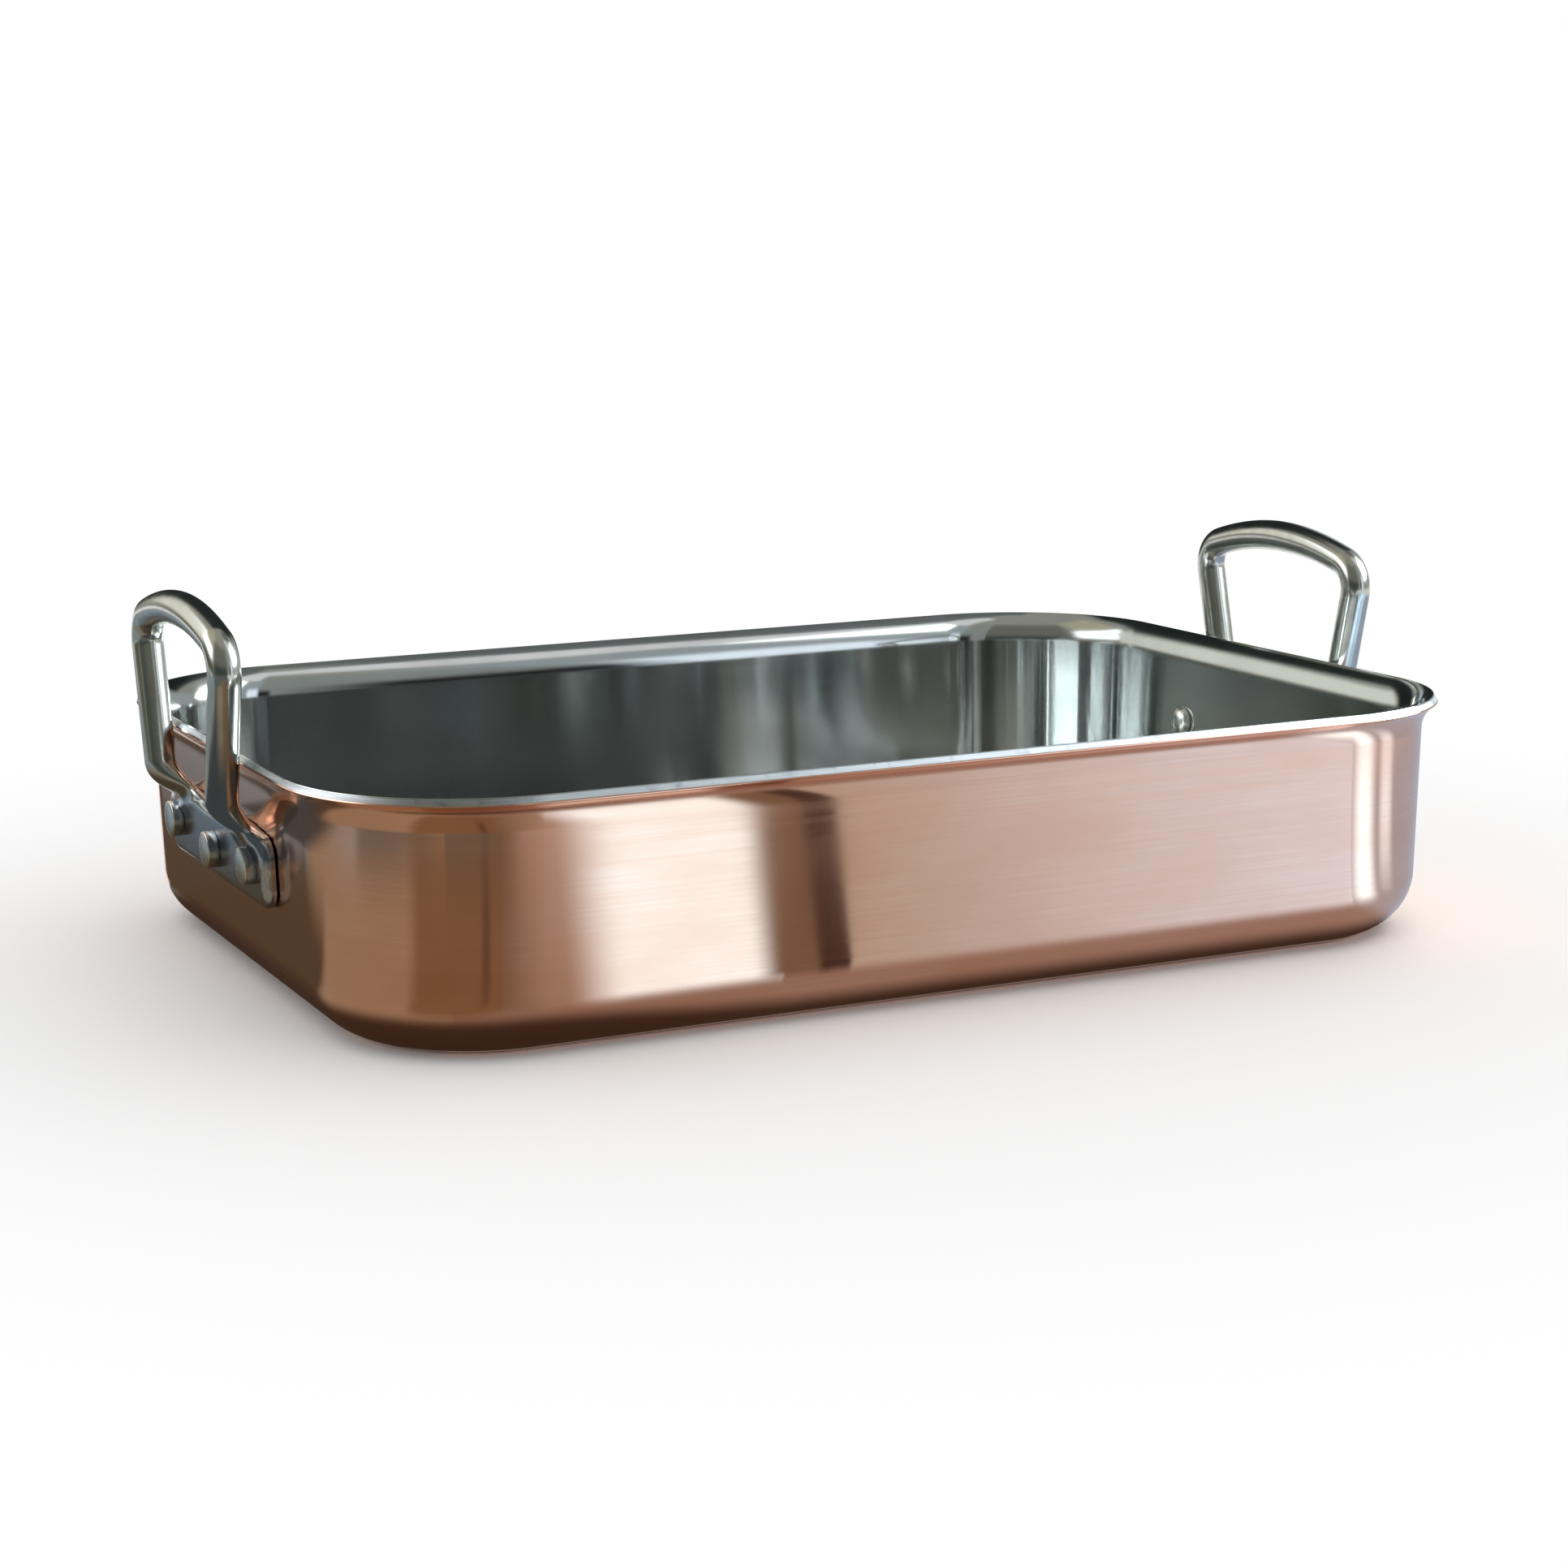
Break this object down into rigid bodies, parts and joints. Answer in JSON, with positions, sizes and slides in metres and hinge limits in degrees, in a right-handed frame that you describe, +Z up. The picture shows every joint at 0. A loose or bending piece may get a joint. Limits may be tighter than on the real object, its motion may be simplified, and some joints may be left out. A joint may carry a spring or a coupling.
{
  "type": "roasting pan",
  "caption": "Rectangular copper-clad roasting pan with a flared pouring lip, bright steel lining and an arched cast handle riveted to each end.",
  "frame": {"origin": "middle of the flat base, on the surface the pan stands on", "axes": "+X along the pan's length towards one handle, +Y across to the rear long wall, +Z up"},
  "size_m": [0.3694, 0.25, 0.1105],
  "materials": {
    "copper": "brushed and polished copper",
    "aluminium": "matte cut edge",
    "lining_steel": "mirror polished stainless steel",
    "handle_steel": "polished cast stainless steel",
    "rivet_steel": "satin stainless steel"
  },
  "bodies": {
    "root": {"copper_skin": "copper", "aluminium_core": "aluminium", "steel_lining": "lining_steel", "left_handle": "handle_steel", "right_handle": "handle_steel", "left_rivet_front": "rivet_steel", "left_rivet_middle": "rivet_steel", "left_rivet_rear": "rivet_steel", "right_rivet_front": "rivet_steel", "right_rivet_middle": "rivet_steel", "right_rivet_rear": "rivet_steel"}
  },
  "joints": []
}
